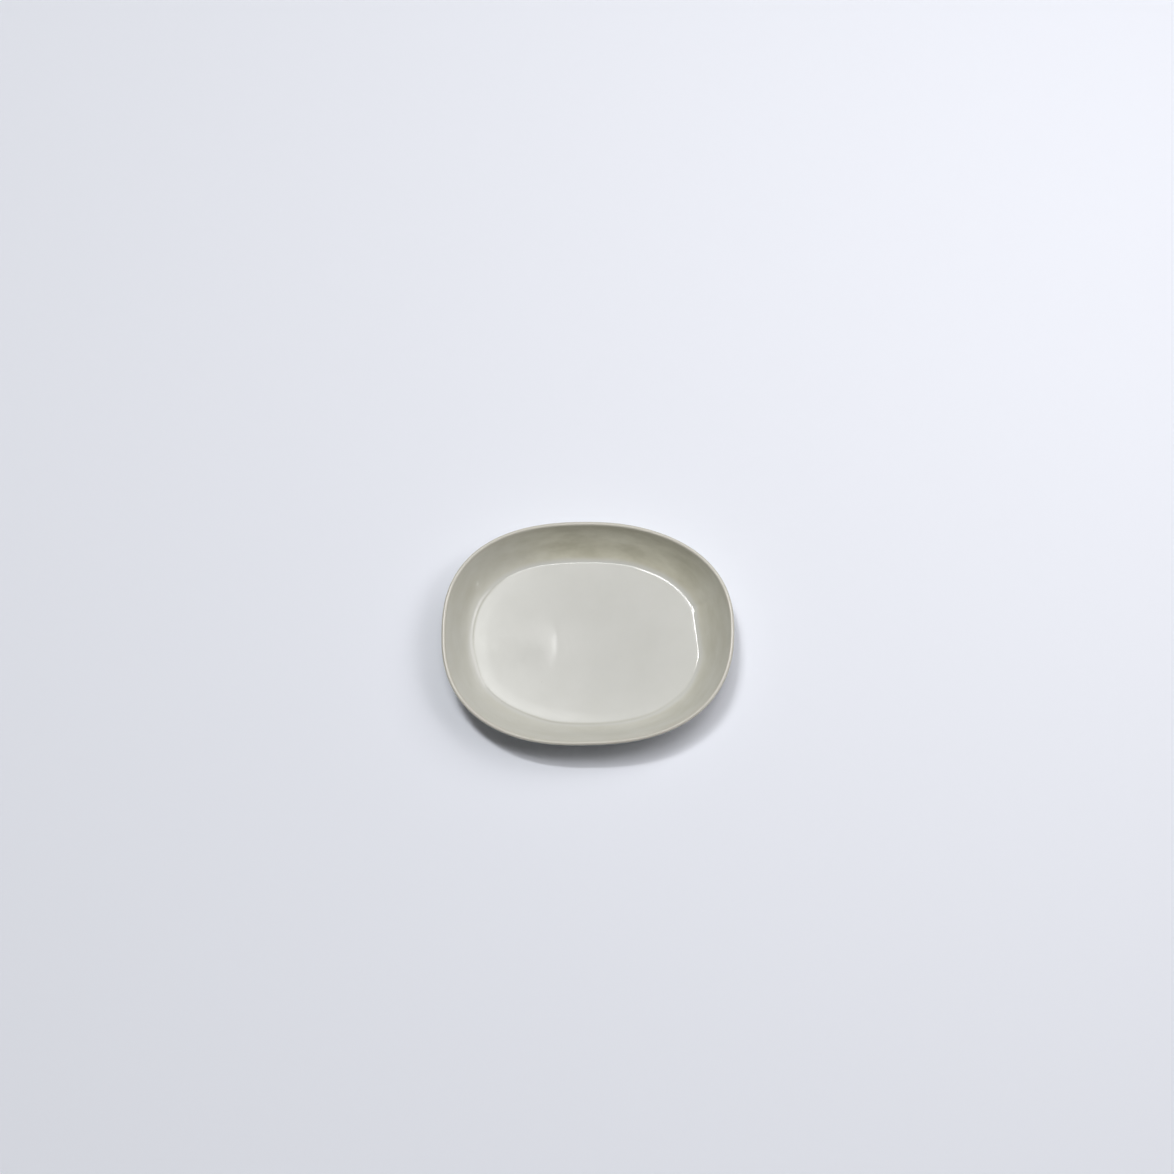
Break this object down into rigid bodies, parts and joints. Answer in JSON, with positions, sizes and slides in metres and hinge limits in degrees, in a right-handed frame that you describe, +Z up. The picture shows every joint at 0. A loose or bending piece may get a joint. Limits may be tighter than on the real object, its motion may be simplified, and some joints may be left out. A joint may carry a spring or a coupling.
{
  "type": "oval plate",
  "caption": "Shallow oval stoneware plate with a coved wall, a rounded slightly wavy rim, a glossy pale grey-green glaze and a bare clay foot ring, for serving food.",
  "frame": {"origin": "middle of the plate's outline, on the plane that the foot ring rests on", "axes": "+X along the plate's length, +Y across its width, +Z up out of the dish"},
  "size_m": [0.2, 0.158, 0.031],
  "materials": {
    "clay": "matte",
    "glaze": "gloss"
  },
  "bodies": {
    "root": {"clay_body": "clay", "foot_ring": "clay", "glaze_coat": "glaze", "base_glaze": "glaze"}
  },
  "joints": []
}
